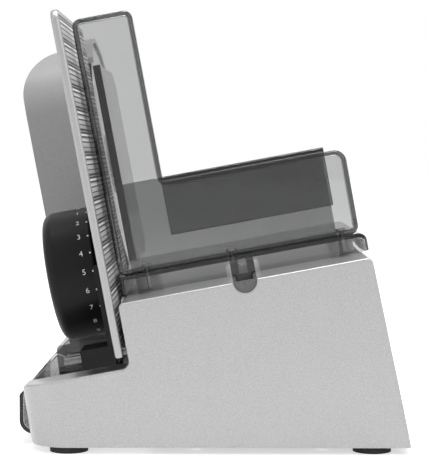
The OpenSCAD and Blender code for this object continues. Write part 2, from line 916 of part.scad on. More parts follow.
module cord_inlet() {
    color([0.1, 0.1, 0.1]) translate([inlet_x, ly(base_l), inlet_z]) rotate([90, 0, 0]) difference() {
        union() {
            cylinder(d = inlet_d, h = inlet_l);
            translate([0, 0, wall + cover_gap]) cylinder(d = inlet_flange_d, h = inlet_flange_t);
        }
        translate([0, 0, -over]) cylinder(d = inlet_bore_d, h = inlet_l + 2 * over);
    }
}

module guide_rods() {
    color("silver") leaning() for (l = rod_l) {
        bar(rod_d, l, -rod_drop, -rod_reach, side_gap + wall);
        bar(rod_head_d, l, -rod_drop, side_gap + wall, side_gap + wall + rod_head_t);
    }
}

module setting_screw() {
    color("silver") leaning() {
        bar(setting_d, nut_l, nut_at, -setting_reach, side_gap + wall);
        bar(rod_head_d + rod_head_t, nut_l, nut_at, side_gap - rod_head_t, side_gap);
    }
}

// Places of the screws that hold the stop plate to its carrier
stop_screw_at = [
    [dial_l - stop_screw_r, -dial_drop],
    [dial_l, -dial_drop + stop_screw_r],
    [carrier_l[0] + screw_head_d, -dial_drop]
];

module stop_plate() {
    reach = blade_r + guard_gap;
    color([0.78, 0.78, 0.78]) leaning() difference() {
        across(-stop_t, 0) rounded([ly(stop_near), -stop_h / 2], [ly(stop_near + stop_l), stop_h / 2],
            [0, 0, 0, stop_r]);
        bar(2 * reach, axle_l, axle_w, -base_left, base_right);
        for (l = rod_l) bar(rod_d + 2 * run_gap, l, -rod_drop, -base_left, base_right);
        bar(nut_collar_d + 2 * hole_gap, nut_l, nut_at, -base_left, base_right);
    }
}

module stop_carrier() {
    color([0.1, 0.1, 0.1]) leaning() difference() {
        union() {
            bar(carrier_disc_d, dial_l, -dial_drop, -stop_t - carrier_t, -stop_t);
            block(
                [-stop_t - carrier_t, ly(carrier_l[0]), carrier_w[0]],
                [-stop_t, ly(carrier_l[1]), -dial_drop + screw_head_d]
            );
            block(
                [-stop_t - carrier_block_t, ly(carrier_l[0]), carrier_w[0]],
                [-stop_t, ly(carrier_l[1]), carrier_w[1]]
            );
        }
        for (l = rod_l) bar(rod_d + 2 * run_gap, l, -rod_drop, -base_left, base_right);
        bar(nut_collar_d + 2 * run_gap, nut_l, nut_at, -base_left, base_right);
        bar(spindle_d, dial_l, -dial_drop, -base_left, base_right);
        for (at = stop_screw_at) bar(screw_d + 2 * hole_gap, at[0], at[1], -base_left, base_right);
    }
}

module stop_screws() {
    color("gray") leaning() for (at = stop_screw_at) bar(screw_d, at[0], at[1], -stop_t - carrier_t, -stop_t);
}

module dial_spindle() {
    color("silver") leaning() {
        bar(spindle_d, dial_l, -dial_drop, -dial_u1 + dial_face_t + spindle_head_t, -stop_t);
    }
}

module setting_nut() {
    color("peru") leaning() difference() {
        union() {
            translate([-dial_u0 - nut_w, ly(nut_l), nut_at]) rotate([90, 0, 90])
                linear_extrude(nut_w) polygon(gear_points(nut_teeth, nut_m, 1));
            bar(nut_collar_d, nut_l, nut_at, -dial_u0, -stop_t / 2);
        }
        bar(setting_d + 2 * run_gap, nut_l, nut_at, -base_left, base_right);
    }
}

module thickness_dial() {
    color([0.09, 0.09, 0.09]) leaning() difference() {
        translate([-dial_u0, ly(dial_l), -dial_drop]) rotate([0, -90, 0]) rotate_extrude()
            rounded([0, 0], [dial_d / 2, dial_w], [0, 0, dial_r, 0]);
        // Hollow round the hub
        difference() {
            bar(dial_wall_d, dial_l, -dial_drop, -dial_u1 + dial_face_t, -dial_u0 - nut_w - dial_gap);
            bar(dial_hub_d, dial_l, -dial_drop, -base_l, base_l);
        }
        // Ring of teeth that turns the nut
        difference() {
            translate([-dial_u0 - nut_w - 2 * dial_gap, ly(dial_l), -dial_drop]) rotate([90, 0, 90])
                rotate(-90) linear_extrude(nut_w + 2 * dial_gap + over)
                    rotate(180 / ring_in_teeth) polygon(gear_points(ring_in_teeth, nut_m, -1));
            bar(dial_hub_d, dial_l, -dial_drop, -base_l, base_l);
        }
        bar(spindle_d + 2 * run_gap, dial_l, -dial_drop, -dial_u1 + dial_face_t, 0);
    }
}

module blade() {
    color([0.86, 0.86, 0.86]) leaning() difference() {
        translate([0, ly(axle_l), axle_w]) rotate([0, -90, 0]) rotate_extrude() polygon([
            [0, 0], [blade_r - bevel_w, 0], [blade_r, blade_t - edge_t], [blade_r, blade_t], [0, blade_t]
        ]);
        bar(lock_stub_d + 2 * hole_gap, axle_l, axle_w, -base_left, base_right);
        for (i = [0 : rivets - 1]) rivet_bar(i, rivet_d + 2 * hole_gap, -base_left, base_right);
    }
}

// Bar along x at rivet i of the blade
module rivet_bar(i, d, x0, x1) {
    a = 360 * i / rivets + 90 / rivets;
    bar(d, axle_l + rivet_r * cos(a), axle_w + rivet_r * sin(a), x0, x1);
}

module blade_gear() {
    color([0.9, 0.9, 0.88]) leaning() difference() {
        bar(ring_out_d, axle_l, axle_w, -gear_back, -blade_t);
        difference() {
            translate([-gear_back - over, ly(axle_l), axle_w]) rotate([90, 0, 90])
                linear_extrude(gear_w + over)
                    rotate(-90 + 180 / ring_teeth) polygon(gear_points(ring_teeth, gear_m, -1));
            bar(hub_d, axle_l, axle_w, -base_left, base_right);
        }
        bar(axle_d + 2 * run_gap, axle_l, axle_w, -base_left, base_right);
        for (i = [0 : rivets - 1]) rivet_bar(i, rivet_d + 2 * hole_gap, -base_left, base_right);
    }
}

module blade_rivets() {
    color("gray") leaning() for (i = [0 : rivets - 1]) {
        rivet_bar(i, rivet_d, -gear_back + rivet_head_t, 0);
        rivet_bar(i, rivet_head_d, 0, rivet_head_t);
    }
}

module blade_lock() {
    color([0.1, 0.1, 0.1]) leaning() difference() {
        union() {
            bar(lock_d, axle_l, axle_w, lock_gap, lock_gap + lock_t);
            bar(lock_stub_d, axle_l, axle_w, -blade_t + lock_gap, lock_gap);
        }
        // Finger pockets on both sides of the grip bar
        for (s = [0, 180]) translate([lock_gap + lock_floor, ly(axle_l), axle_w]) rotate([90, 0, 90])
            linear_extrude(lock_t) rotate(s) difference() {
                circle(d = lock_d - 2 * lock_rim);
                translate([-lock_d, -lock_d + lock_bar_w / 2]) square([2 * lock_d, lock_d]);
            }
    }
}

module drive_pinion() {
    x1 = -blade_t - web_t - pinion_gap;
    color("peru") leaning() difference() {
        translate([x1 - pinion_w, ly(axle_l), pinion_at]) rotate([90, 0, 90])
            linear_extrude(pinion_w) rotate(-90) polygon(gear_points(pinion_teeth, gear_m, 1));
        bar(pinion_shaft_d, axle_l, pinion_at, -base_left, base_right);
    }
}

module pinion_shaft() {
    color("silver") leaning()
        bar(pinion_shaft_d, axle_l, pinion_at, -shaft_back, -blade_t - web_t - pinion_gap);
}

module worm_wheel() {
    color("ivory") leaning() difference() {
        translate([-rotor_u - wheel_w / 2, ly(axle_l), pinion_at]) rotate([90, 0, 90])
            linear_extrude(wheel_w) polygon(gear_points(wheel_teeth, worm_m, 1));
        bar(pinion_shaft_d, axle_l, pinion_at, -base_left, base_right);
    }
}

// The worm is a right-handed thread with its crest turned away from the wheel at the wheel's height
module worm() {
    turns = worm_l / worm_lead;
    color("silver") leaning() translate([-rotor_u, ly(rotor_l), pinion_at - worm_l / 2])
        rotate(90 - 180 * turns) linear_extrude(worm_l, twist = -360 * turns, slices = ceil(turns * thread_turn_steps),
                segments = thread_round_steps, $fn = thread_round_steps)
            difference() {
                polygon(thread_points(worm_d / 2 - worm_m - root_play, worm_d / 2 + worm_m));
                circle(d = shaft_d + 2 * worm_bore_play, $fn = thread_round_steps);
            }
}

module rotor_shaft() {
    color("silver") leaning() translate([-rotor_u, ly(rotor_l), rotor_bush_w[2]])
        cylinder(d = shaft_d, h = frame_w1 - rotor_bush_w[2] + over);
}

module armature() {
    color("orangered") leaning()
        translate([-rotor_u, ly(rotor_l), motor_top - motor_l / 2 - armature_l / 2]) difference() {
            cylinder(d = armature_d, h = armature_l);
            translate([0, 0, -over]) cylinder(d = shaft_d, h = armature_l + 2 * over);
            for (i = [0 : armature_slots - 1]) rotate(360 * i / armature_slots)
                translate([armature_d / 2 - slot_cut, -slot_cut / 2, -over])
                    cube([2 * slot_cut, slot_cut, armature_l + 2 * over]);
        }
}

module cooling_fan() {
    color([0.15, 0.15, 0.15]) leaning() translate([-rotor_u, ly(rotor_l), motor_top + mount_t + fan_gap]) difference() {
        union() {
            cylinder(d = fan_hub_d, h = fan_h);
            cylinder(d = fan_d, h = fan_blade_t);
            for (i = [0 : fan_blades - 1]) rotate(360 * i / fan_blades)
                translate([fan_hub_d / 2 - fan_blade_t, -fan_blade_t / 2, fan_blade_t / 2])
                    cube([fan_d / 2 - fan_hub_d / 2, fan_blade_t, fan_h - fan_blade_t]);
        }
        translate([0, 0, -over]) cylinder(d = shaft_d, h = fan_h + 2 * over);
    }
}

// Gap for the keel in the skirt, from height w0 to w1
module keel_notch(w0, w1) {
    translate([groove_u - groove_w / 2 - notch_side, w0]) square([groove_w + 2 * notch_side, w1 - w0]);
}

// Solid of the carriage plate, its skirt moved inwards by t, its top down by top, and its foot down by foot
module plate_body(t, top, foot) {
    far = car_l0 + car_l;
    intersection() {
        up(-skirt_bottom - foot, -floor_drop - top)
            rounded([car_left + t, ly(car_l0) + t], [car_right - t, ly(far) - t],
                [0, car_r - t, car_r - t, 0]);
        along(car_l0, far)
            rounded([car_left + t, -base_l], [car_right - t, -floor_drop - top], [0, 0, car_edge_r - t, 0]);
    }
}

module carriage_plate() {
    under = -floor_drop - plastic;
    far = car_l0 + car_l;
    color([0.45, 0.45, 0.45, 0.6]) leaning() difference() {
        union() {
            difference() {
                plate_body(0, 0, 0);
                plate_body(skirt_t, plastic, over);
            }
            for (i = [0, 2]) translate([car_screw_u[i], ly(car_l0 + car_screw_in), -skirt_bottom])
                cylinder(d = boss_small_d, h = skirt_bottom - floor_drop - over);
        }
        along(car_l0 - over, far + over) keel_notch(-deck_drop - over, under - notch_top);
        for (u = car_screw_u) translate([u, ly(car_l0 + car_screw_in), -skirt_bottom - over])
            cylinder(d = screw_d - 2 * hole_gap, h = deck_drop);
    }
}
car_screw_in = rim_d / 2 + plastic / 2;

// Outline of the guard seen from the near end, its skin moved inwards by t
module guard_outline(t) {
    rounded([car_left + t, -floor_drop + t], [guard_tall - t, guard_top - t],
        [guard_r - t, 0, guard_r - t, guard_r - t]);
    rounded([car_left + t, -floor_drop + t], [car_right - guard_in - t, -guard_low - t],
        [guard_r - t, guard_r - t, guard_end_r - t, 0]);
}

module carriage_guard() {
    color([0.45, 0.45, 0.45, 0.6]) leaning() difference() {
        along(car_l0, car_l0 + rim_d) guard_outline(0);
        along(car_l0 + plastic, car_l0 + rim_d + over) guard_outline(plastic);
        for (u = car_screw_u) translate([u, ly(car_l0 + car_screw_in), -floor_drop - over])
            cylinder(d = screw_d + 2 * hole_gap, h = plastic + 2 * over);
    }
}

module carriage_screws() {
    color("gray") leaning() for (u = car_screw_u) translate([u, ly(car_l0 + car_screw_in), 0]) {
        translate([0, 0, -floor_drop + plastic]) cylinder(d = screw_head_d, h = screw_head_t);
        translate([0, 0, -skirt_bottom + over])
            cylinder(d = screw_d - 2 * thread_gap, h = skirt_bottom - floor_drop + plastic - over);
    }
}

module carriage_keel() {
    play = liner_t + hole_gap + slide_gap;
    color([0.2, 0.2, 0.2]) leaning() {
        along(car_l0 + keel_end, car_l0 + car_l - keel_end) intersection() {
            groove_outline(play, 0);
            translate([0, -base_l]) square([base_l, base_l - skirt_bottom]);
        }
        difference() {
            for (l = [car_l0 + keel_end, car_l0 + car_l - keel_end - leg_l], s = [-1, 1])
                block(
                    [groove_u + s * leg_u - leg_w / 2, ly(l), -skirt_bottom],
                    [groove_u + s * leg_u + leg_w / 2, ly(l + leg_l), -floor_drop - plastic]
                );
            translate([car_screw_u[1], ly(car_l0 + car_screw_in), -skirt_bottom + over / 2])
                cylinder(d = screw_d - 2 * hole_gap, h = deck_drop - floor_drop);
        }
    }
}

module slide_pads() {
    color([0.9, 0.9, 0.9]) leaning()
        for (u = [car_left + pad_inset, car_right - pad_inset],
             l = [car_l0 + 2 * pad_inset, car_l0 + car_l - pad_inset])
            translate([u, ly(l), -deck_drop + pad_gap])
                cylinder(d = pad_d, h = deck_drop - pad_gap - floor_drop - plastic);
}

module remnant_holder() {
    back0 = car_l0 + rim_d + hold_gap;
    back1 = back0 + plastic;
    top0 = -guard_low + hold_gap;
    top1 = top0 + plastic;
    near0 = car_l0 - hold_gap - plastic;
    color([0.35, 0.35, 0.35, 0.6]) leaning() {
        // Wall behind the guard
        block([push_u, ly(back0), -floor_drop + hold_foot], [hold_right, ly(back1), top1]);
        // Bridge over the guard's top and the grip flap in front of it
        block([hold_left, ly(near0), top0], [hold_right, ly(back1), top1]);
        block([hold_left, ly(near0), top1 - flap_h], [hold_right, ly(car_l0 - hold_gap), top1]);
        // Plate that presses the food against the stop plate
        across(push_u, push_u + push_t)
            rounded([ly(back0), -floor_drop + push_foot], [ly(back0 + push_l), push_top],
                [0, push_r, push_r, 0]);
    }
}

module food_tray() {
    color([0.45, 0.45, 0.45, 0.6]) difference() {
        tray_body(0, 0);
        tray_body(tray_t, tray_t);
    }
}

// Solid of the food tray, its skin moved inwards by t
module tray_body(t, open) {
    shoulder_x = -plane_x - tray_shoulder_u * cos(tilt) - tray_shoulder_w * sin(tilt);
    shoulder_z = plane_z - tray_shoulder_u * sin(tilt) + tray_shoulder_w * cos(tilt);
    end_z = shoulder_z + (-tray_right - shoulder_x) * tan(tilt);
    translate([0, ly(tray_l0 + tray_l) - t, 0]) rotate([90, 0, 0]) linear_extrude(tray_l - 2 * t) intersection() {
        rounded([-tray_left + t, tray_z + t], [-tray_right - t, plane_z], [tray_r - t, tray_r - t, 0, 0]);
        polygon([
            [-tray_left, 0],
            [-tray_left, tray_low + (open > 0 ? plane_z : 0)],
            [-tray_peak_x, tray_peak_z + (open > 0 ? plane_z : 0)],
            [shoulder_x, shoulder_z + (open > 0 ? plane_z : 0)],
            [-tray_right, end_z + (open > 0 ? plane_z : 0)],
            [-tray_right, 0]
        ]);
    }
}

base_housing();
bottom_cover();
feet();
cover_screws();
guide_rail();
rail_screws();
blade_wall();
wall_screws();
motor_housing();
housing_screws();
gear_frame();
blade_axle();
motor_can();
motor_mount();
motor_screws();
rotor_bearings();
switch_frame();
circuit_board();
capacitor();
cord_inlet();
guide_rods();
setting_screw();
stop_plate();
stop_carrier();
stop_screws();
dial_spindle();
setting_nut();
thickness_dial();
blade();
blade_gear();
blade_rivets();
blade_lock();
drive_pinion();
pinion_shaft();
worm_wheel();
worm();
rotor_shaft();
armature();
cooling_fan();
carriage_plate();
carriage_guard();
carriage_screws();
carriage_keel();
slide_pads();
remnant_holder();
food_tray();
power_switch();
safety_button();
button_spring();
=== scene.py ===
import json
import math

import bmesh
import bpy
from mathutils import Matrix, Vector


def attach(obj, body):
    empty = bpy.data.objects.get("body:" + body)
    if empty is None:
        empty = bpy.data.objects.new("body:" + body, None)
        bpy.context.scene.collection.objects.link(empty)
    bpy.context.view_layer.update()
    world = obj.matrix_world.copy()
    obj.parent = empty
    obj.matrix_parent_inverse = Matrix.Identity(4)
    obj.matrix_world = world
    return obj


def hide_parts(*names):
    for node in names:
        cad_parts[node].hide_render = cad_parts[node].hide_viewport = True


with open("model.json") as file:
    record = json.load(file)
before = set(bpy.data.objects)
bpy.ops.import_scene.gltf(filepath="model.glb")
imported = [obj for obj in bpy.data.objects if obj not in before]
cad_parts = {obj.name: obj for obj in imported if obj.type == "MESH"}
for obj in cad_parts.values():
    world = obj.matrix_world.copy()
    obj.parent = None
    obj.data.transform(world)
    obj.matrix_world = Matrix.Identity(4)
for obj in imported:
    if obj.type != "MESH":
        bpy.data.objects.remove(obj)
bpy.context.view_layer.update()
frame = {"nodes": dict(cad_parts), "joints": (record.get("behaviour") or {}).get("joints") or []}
MM = 0.001
QUARTER = math.pi / 2
WORLD = Matrix.Identity(4)

# The leaning frame of the blade plane: u square to it, y along the base, w up the plane
JOINT = {j["name"]: j for j in frame["joints"]}
U_AXIS = Vector(JOINT["holder_slide"]["axis"])
TILT = math.atan2(U_AXIS.z, U_AXIS.x)
AXLE_L, AXLE_W = 237 * MM, 10 * MM
W_AXIS = Vector((-math.sin(TILT), 0, math.cos(TILT)))
ORIGIN = Vector(JOINT["blade_spin"]["pos_m"]) - AXLE_W * W_AXIS
ORIGIN.y = 0
LEAN = Matrix.Translation(ORIGIN) @ Matrix.Rotation(-TILT, 4, "Y")

# How far a cutter runs past the face that it cuts, and a length that reaches past every piece
OVER, REACH = 1 * MM, 200 * MM

# The base, which the other pieces are fitted to
BASE_L, FOOT_H, WALL = 345 * MM, 4 * MM, 2.5 * MM
LEFT, RIGHT, LEFT_DRAFT, RIGHT_DRAFT = -60.6 * MM, 148 * MM, 2.2 * MM, 3 * MM
LEDGE_W, DECK_W, SIDE_U = -106 * MM, -69.2 * MM, 2.5 * MM
TOP_R, STEP_R = 3 * MM, 4.5 * MM
NEAR_LEFT_R, NEAR_RIGHT_R, FAR_R, LEAST_R = 22 * MM, 3 * MM, 8 * MM, 0.5 * MM
BAY_L = 26 * MM
GROOVE_U, GROOVE_R, GROOVE_DEEP = 75.35 * MM, 6.85 * MM, 7 * MM
RIM_STEP, RIM_L = 0.7 * MM, 0.6 * MM
RUNNER_L, RUNNER_WIDE, RUNNER_H = 25 * MM, 14 * MM, 1.7 * MM
# Right of this place the near edges stay sharp: the corner's walls meet too thinly to be rounded again
SHARP_X = 99.75 * MM

# The motor housing
HOUSE_L, HOUSE_U, HOUSE_TOP, HOUSE_WALL = 185 * MM, -51 * MM, 94.4 * MM, 2 * MM
HOUSE_OPEN_U, HOUSE_R, HOUSE_BACK_R = -14 * MM, 44 * MM, 31 * MM

# The stop plate, and its holes: place along the base, height and radius
STOP_T, STOP_H, STOP_L0, STOP_L1, STOP_R = 4.8 * MM, 200 * MM, 0.8 * MM, 150.8 * MM, 8 * MM
STOP_HOLES = (
    (9 * MM, -97.5 * MM, 3.05 * MM), (25 * MM, -97.5 * MM, 3.05 * MM), (60 * MM, -76 * MM, 6.1 * MM),
)
# Groups of flutes: their pitch, top, foot and near end
PITCH, FLUTE_TOP, FLUTE_FOOT, FLUTE_L = 13 * MM, 84 * MM, -60 * MM, 3.4 * MM
# Each flute of a group: its place below the group's top, its width and its depth
FLUTES = (
    (0, 1.3 * MM, 0.3 * MM), (2 * MM, 1.3 * MM, 0.3 * MM), (4.6 * MM, 0.8 * MM, 0.2 * MM),
    (7.5 * MM, 1 * MM, 0.2 * MM), (10.6 * MM, 0.9 * MM, 0.15 * MM),
)

# The thickness dial, its figures and its dots; FIGURE_ZERO is the place on its scale that faces near
DIAL_L, DIAL_W, DIAL_R = 60 * MM, -52 * MM, 38.5 * MM
DIAL_U0, DIAL_U1 = -8.2 * MM, -37.2 * MM
HUB_R, DIAL_INNER_R, DIAL_FACE = 8.5 * MM, 33.6 * MM, 3 * MM
DIAL_NEAR_R, DIAL_FAR_R = 1.2 * MM, 6 * MM
FIGURES, FIGURE_STEP, FIGURE_ZERO = 16, math.radians(16.2), 5.22
FIGURE_SIZE, FIGURE_U, DOT_R, DOT_U, PRINT_H = 4.6 * MM, -15 * MM, 0.55 * MM, -9.7 * MM, 0.06 * MM

# The carriage and its guard
CAR_L0, CAR_L1, CAR_U0, CAR_U1, CAR_R, CAR_EDGE_R = 42 * MM, 195 * MM, 2.6 * MM, 151 * MM, 8 * MM, 6 * MM
FLOOR_W, SKIRT_W, PLASTIC, SKIRT_T = -57.4 * MM, -68.6 * MM, 2.5 * MM, 2.2 * MM
NOTCH_GAP, NOTCH_TOP, NOTCH_R = 3 * MM, 4.1 * MM, 2 * MM
RIM_D, GUARD_TOP, GUARD_TALL, GUARD_LOW = 13 * MM, 96 * MM, 38.4 * MM, -6.8 * MM
GUARD_END = CAR_U1 - 4.2 * MM
GUARD_R, GUARD_END_R, GUARD_INNER_R = 5 * MM, 7 * MM, 4 * MM

# The remnant holder
HOLDER_GAP, HOLDER_T, HOLDER_ROUND = 0.5 * MM, 2.5 * MM, 0.6 * MM
HOLDER_U0, HOLDER_U1, FLAP_H = 37.6 * MM, 134.3 * MM, 34.5 * MM
PUSH_U0, PUSH_U1, PUSH_L, PUSH_R = 9.3 * MM, 13.8 * MM, 112 * MM, 14 * MM
PUSH_TOP, PUSH_RAISED = 68.5 * MM, 7 * MM
# How far the holder's wall stays inside its other parts, so that no two of their faces coincide
INSIDE = 0.3 * MM

# The food tray: its ends along the base, and its section as places in the world
TRAY_L0, TRAY_L1, TRAY_T, TRAY_R = 32 * MM, 180 * MM, 2 * MM, 8 * MM
TRAY_X0, TRAY_X1, TRAY_Z = -103.9 * MM, -43 * MM, 6 * MM
PEAK_X, PEAK_Z, BACK_Z = -81 * MM, 53.4 * MM, 29 * MM
SHOULDER_U, SHOULDER_W = -27 * MM, -102.5 * MM


# Shapes

def ly(l):
    """Distance l from the near end of the base, as a y coordinate."""
    return l - BASE_L / 2


def w_at(u, z):
    """Height up the leaning plane of the point that is u out and z above the table."""
    return (z - ORIGIN.z - u * math.sin(TILT)) / math.cos(TILT)


def fillet(points, radii, steps=8):
    """The outline with a round of its own radius at each corner."""
    out = []
    n = len(points)
    for i, p in enumerate(points):
        r = radii[i]
        p = Vector(p)
        if r <= 0:
            out.append(tuple(p))
            continue
        a = (Vector(points[i - 1]) - p).normalized()
        b = (Vector(points[(i + 1) % n]) - p).normalized()
        half = a.angle(b) / 2
        back = r / math.tan(half)
        centre = p + (a + b).normalized() * r / math.sin(half)
        start = p + a * back - centre
        end = p + b * back - centre
        turn = start.angle_signed(end)
        for k in range(steps + 1):
            t = -turn * k / steps
            out.append((centre.x + start.x * math.cos(t) - start.y * math.sin(t),
                        centre.y + start.x * math.sin(t) + start.y * math.cos(t)))
    return out


def rect(a, b):
    """Corners of a rectangle, anticlockwise."""
    return [(a[0], a[1]), (b[0], a[1]), (b[0], b[1]), (a[0], b[1])]


def around(a, b, r, t):
    """The point at angle t on a circle."""
    return (a + r * math.cos(t), b + r * math.sin(t))


def ring(a, b, r, n):
    """Points of a circle."""
    return [around(a, b, r, 2 * math.pi * k / n) for k in range(n)]


def arc(a, b, r, start, steps):
    """Points of a quarter of a circle, from the angle start on."""
    return [around(a, b, r, start + QUARTER * k / steps) for k in range(steps + 1)]


def link(name, data):
    """A new object that shows the data."""
    obj = bpy.data.objects.new(name, data)
    bpy.context.scene.collection.objects.link(obj)
    return obj


def mesh_of(bm, name):
    """The finished mesh of a bmesh."""
    mesh = bpy.data.meshes.new(name)
    bm.to_mesh(mesh)
    bm.free()
    return mesh


PLACE = {
    "y": lambda p, q: (p[0], q, p[1]),
    "w": lambda p, q: (p[0], p[1], q),
    "u": lambda p, q: (q, p[0], p[1]),
}


def prism(name, points, low, high, axis="y", matrix=LEAN):
    """A closed prism of the outline along one axis of the leaning frame, or of another matrix."""
    bm = bmesh.new()
    ends = [[bm.verts.new(matrix @ Vector(PLACE[axis](p, q))) for p in points] for q in (low, high)]
    n = len(points)
    for i in range(n):
        j = (i + 1) % n
        bm.faces.new((ends[0][i], ends[0][j], ends[1][j], ends[1][i]))
    bm.faces.new(ends[0])
    bm.faces.new(ends[1])
    bmesh.ops.recalc_face_normals(bm, faces=bm.faces)
    return link(name, mesh_of(bm, name))


def lathe(name, profile, l, w, n):
    """A solid turned about the line along u at (l, w), from a profile of (u, radius)."""
    bm = bmesh.new()
    rings = []
    for u, r in profile:
        circle = ring(ly(l), w, r, n) if r > 0 else [(ly(l), w)]
        rings.append([bm.verts.new(LEAN @ Vector((u, y, z))) for y, z in circle])
    for a, b in zip(rings, rings[1:]):
        for i in range(n):
            j = (i + 1) % n
            if len(a) == 1:
                bm.faces.new((a[0], b[i], b[j]))
            elif len(b) == 1:
                bm.faces.new((a[i], a[j], b[0]))
            else:
                bm.faces.new((a[i], a[j], b[j], b[i]))
    bmesh.ops.recalc_face_normals(bm, faces=bm.faces)
    return link(name, mesh_of(bm, name))


def evaluated(obj):
    """A new mesh of the object as it shows."""
    graph = bpy.context.evaluated_depsgraph_get()
    return bpy.data.meshes.new_from_object(obj.evaluated_get(graph))


def settle(obj):
    """Makes the object's modifiers part of its mesh."""
    mesh = evaluated(obj)
    old = obj.data
    obj.modifiers.clear()
    obj.data = mesh
    bpy.data.meshes.remove(old)
    return obj


def combine(obj, other, how="DIFFERENCE"):
    """Cuts other from obj, joins it or keeps what they share, and deletes other."""
    mod = obj.modifiers.new("combine", "BOOLEAN")
    mod.operation = how
    mod.solver = "EXACT"
    mod.object = other
    settle(obj)
    mesh = other.data
    bpy.data.objects.remove(other)
    bpy.data.meshes.remove(mesh)
    return obj


def soften(obj, width, segments, angle, above=-REACH, clamp=True, left_of=REACH):
    """Rounds the sharp edges that reach above a height and that start left of a place."""
    bm = bmesh.new()
    bm.from_mesh(obj.data)
    weight = bm.edges.layers.float.new("bevel_weight_edge")
    for edge in bm.edges:
        sharp = len(edge.link_faces) == 2 and edge.calc_face_angle(0) > math.radians(angle)
        high = max(v.co.z for v in edge.verts) > above
        near = min(v.co.x for v in edge.verts) < left_of
        if sharp and high and near:
            edge[weight] = 1.0
    bm.to_mesh(obj.data)
    bm.free()
    mod = obj.modifiers.new("soften", "BEVEL")
    mod.width = width
    mod.segments = segments
    mod.limit_method = "WEIGHT"
    mod.use_clamp_overlap = clamp
    mod.miter_outer = "MITER_ARC"
    return settle(obj)


def dress(obj, body, material, smooth):
    """Finishes a piece: shading smooth up to an angle, its body and its material."""
    obj.data.shade_smooth()
    obj.data.set_sharp_from_angle(angle=math.radians(smooth))
    even = obj.modifiers.new("even", "WEIGHTED_NORMAL")
    even.keep_sharp = True
    even.weight = 100
    settle(obj)
    obj.data.materials.clear()
    obj.data.materials.append(material)
    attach(obj, body)


# Materials

def grey(v):
    """A neutral colour."""
    return (v, v, v)


def blank(name):
    """A new node material, with its tree and its shader."""
    mat = bpy.data.materials.new(name)
    mat.use_nodes = True
    return mat, mat.node_tree, mat.node_tree.nodes["Principled BSDF"]


def coords(tree, leaning=None, stretch=(1, 1, 1)):
    """The surface's own coordinates, or ones that lean with the blade plane about a point."""
    source = tree.nodes.new("ShaderNodeTexCoord")
    mapping = tree.nodes.new("ShaderNodeMapping")
    tree.links.new(source.outputs["Object"], mapping.inputs["Vector"])
    if leaning is None:
        mapping.inputs["Scale"].default_value = stretch
    else:
        mapping.vector_type = "TEXTURE"
        mapping.inputs["Location"].default_value = leaning
        mapping.inputs["Rotation"].default_value = (0, -TILT, 0)
        mapping.inputs["Scale"].default_value = [1 / s for s in stretch]
    return mapping.outputs["Vector"]


def noise(tree, vector, scale, detail=2.0):
    """A noise value from 0 to 1."""
    tex = tree.nodes.new("ShaderNodeTexNoise")
    tex.inputs["Scale"].default_value = scale
    tex.inputs["Detail"].default_value = detail
    tree.links.new(vector, tex.inputs["Vector"])
    return tex.outputs["Fac"]


def ramp(tree, value, stops):
    """A colour from a value, between the given places."""
    node = tree.nodes.new("ShaderNodeValToRGB")
    elements = node.color_ramp.elements
    while len(elements) < len(stops):
        elements.new(0.5)
    for element, (place, colour) in zip(elements, stops):
        element.position = place
        element.color = (*colour, 1)
    tree.links.new(value, node.inputs["Fac"])
    return node.outputs["Color"]


# The middle part of a noise value, where nearly all of it lies
NOISE_LOW, NOISE_HIGH = 0.3, 0.7


def shade(tree, value, dark, light):
    """A colour that follows a noise value."""
    return ramp(tree, value, [(NOISE_LOW, dark), (NOISE_HIGH, light)])


def span(tree, value, low, high):
    """A number that follows a noise value."""
    node = tree.nodes.new("ShaderNodeMapRange")
    node.inputs["From Min"].default_value = NOISE_LOW
    node.inputs["From Max"].default_value = NOISE_HIGH
    node.inputs["To Min"].default_value = low
    node.inputs["To Max"].default_value = high
    tree.links.new(value, node.inputs["Value"])
    return node.outputs["Result"]


def sums(tree, operation, a, b):
    """The result of a sum with an output and a second output or number."""
    node = tree.nodes.new("ShaderNodeMath")
    node.operation = operation
    tree.links.new(a, node.inputs[0])
    if isinstance(b, float):
        node.inputs[1].default_value = b
    else:
        tree.links.new(b, node.inputs[1])
    return node.outputs[0]


def mixed(tree, factor, a, b):
    """Two colours blended."""
    node = tree.nodes.new("ShaderNodeMix")
    node.data_type = "RGBA"
    tree.links.new(factor, node.inputs[0])
    tree.links.new(a, node.inputs[6])
    tree.links.new(b, node.inputs[7])
    return node.outputs[2]


def bump(tree, shader, height, strength, distance):
    """A bump on the shader's normal."""
    node = tree.nodes.new("ShaderNodeBump")
    node.inputs["Strength"].default_value = strength
    node.inputs["Distance"].default_value = distance
    tree.links.new(height, node.inputs["Height"])
    tree.links.new(node.outputs["Normal"], shader.inputs["Normal"])


def finish_of(name, dark, light, grain, rough, relief, **more):
    """A material whose colour and relief vary with a grain, and its roughness with broad patches."""
    mat, tree, shader = blank(name)
    fine = noise(tree, coords(tree), grain, 3)
    broad = noise(tree, coords(tree), 35)
    tree.links.new(shade(tree, fine, dark, light), shader.inputs["Base Color"])
    tree.links.new(span(tree, broad, rough[0], rough[1]), shader.inputs["Roughness"])
    bump(tree, shader, fine, relief, 0.2 * MM)
    for key, value in more.items():
        shader.inputs[key.replace("_", " ")].default_value = value
    return mat


